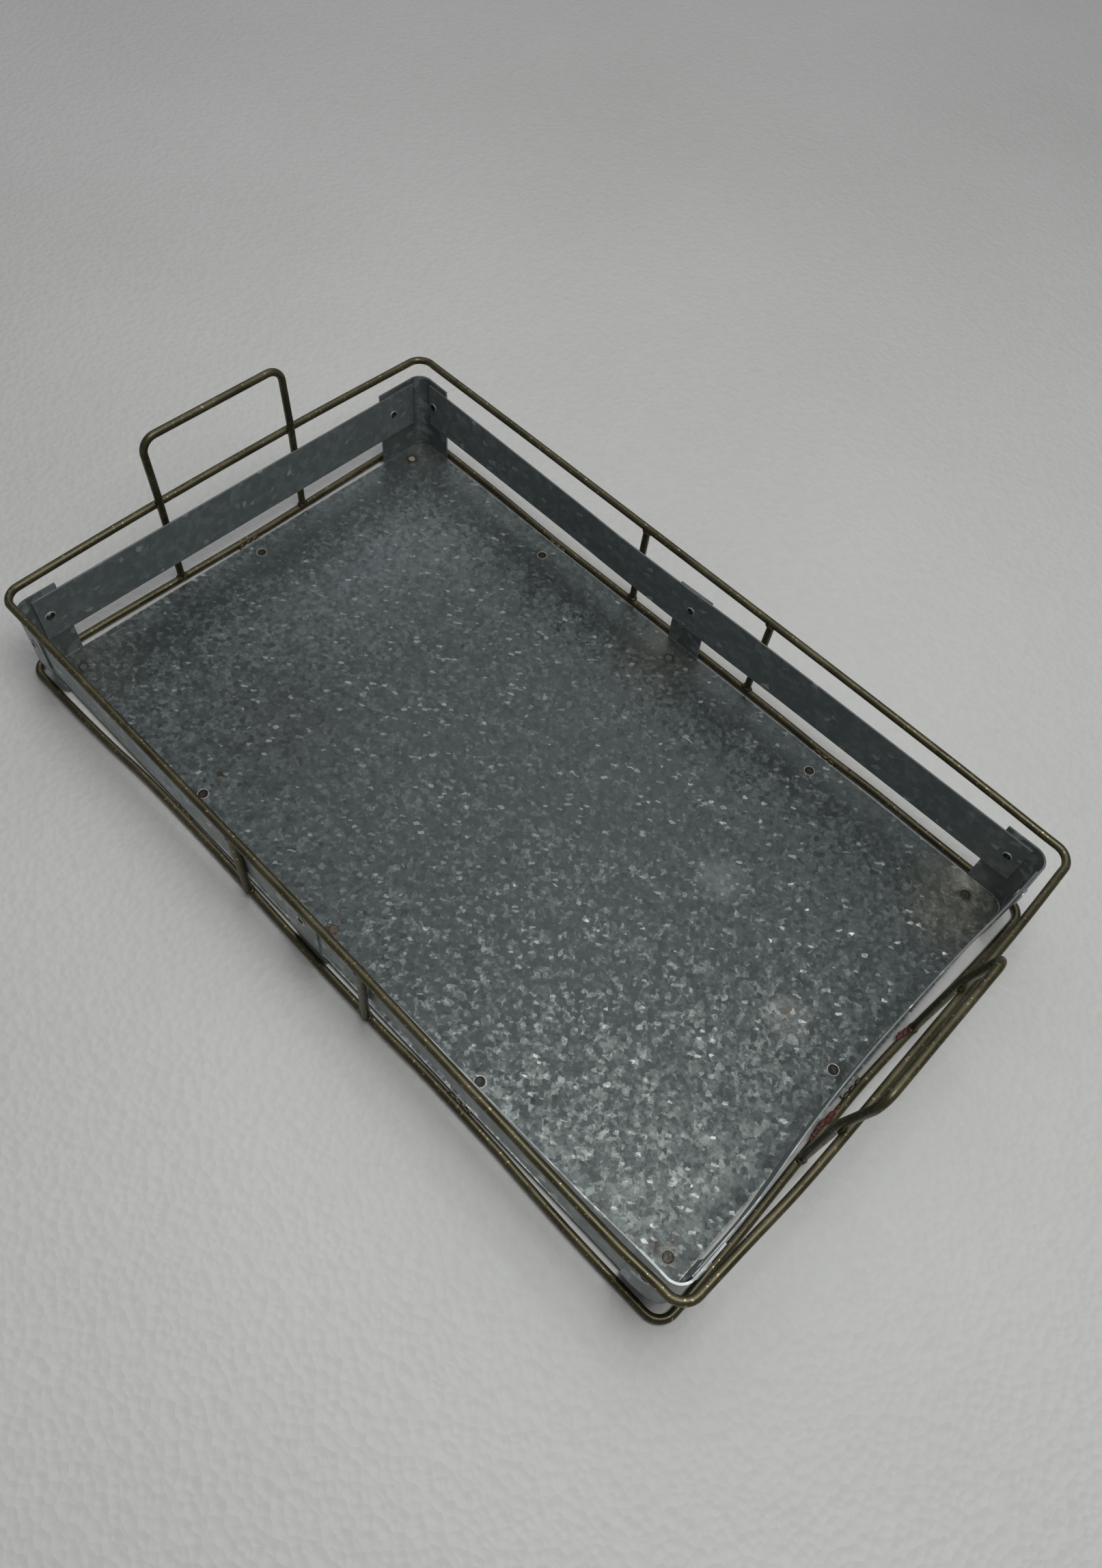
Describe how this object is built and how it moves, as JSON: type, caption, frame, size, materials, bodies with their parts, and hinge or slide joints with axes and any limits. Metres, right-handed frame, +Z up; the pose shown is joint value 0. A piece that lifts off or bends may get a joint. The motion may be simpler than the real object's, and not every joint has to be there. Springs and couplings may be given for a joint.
{
  "type": "milk bottle crate",
  "caption": "Shallow rectangular sheet-steel tray for carrying milk bottles, riveted inside a welded wire frame with a raised wire handle at each short end.",
  "frame": {"origin": "on the surface it stands on, under the centre of the tray", "axes": "+X along the long side, +Y along the short side, +Z up"},
  "size_m": [0.446, 0.2724, 0.1],
  "materials": {
    "galvanised_plate": "galvanised sheet with a faint spangle, dulled",
    "galvanised_strip": "dark weathered galvanised strip",
    "coated_wire": "aged brassy plating on drawn steel wire",
    "lug_strip": "aged brassy plating",
    "rivet_metal": "worn, slightly rusted"
  },
  "bodies": {
    "root": {"base_plate": "galvanised_plate", "bottom_ring": "coated_wire", "corner_bracket_nx_ny": "galvanised_strip", "corner_bracket_nx_py": "galvanised_strip", "corner_bracket_px_ny": "galvanised_strip", "corner_bracket_px_py": "galvanised_strip", "eyelets": "rivet_metal", "handle_nx": "coated_wire", "handle_px": "coated_wire", "long_band_ny": "galvanised_strip", "long_band_py": "galvanised_strip", "lug_nx": "lug_strip", "lug_ny_nx": "lug_strip", "lug_ny_px": "lug_strip", "lug_px": "lug_strip", "lug_py_nx": "lug_strip", "lug_py_px": "lug_strip", "lug_rivets": "rivet_metal", "mid_bracket_ny": "galvanised_strip", "mid_bracket_py": "galvanised_strip", "plate_rivets": "rivet_metal", "post_ny_nx": "coated_wire", "post_ny_px": "coated_wire", "post_py_nx": "coated_wire", "post_py_px": "coated_wire", "short_band_nx": "galvanised_strip", "short_band_px": "galvanised_strip", "top_ring": "coated_wire"}
  },
  "joints": []
}
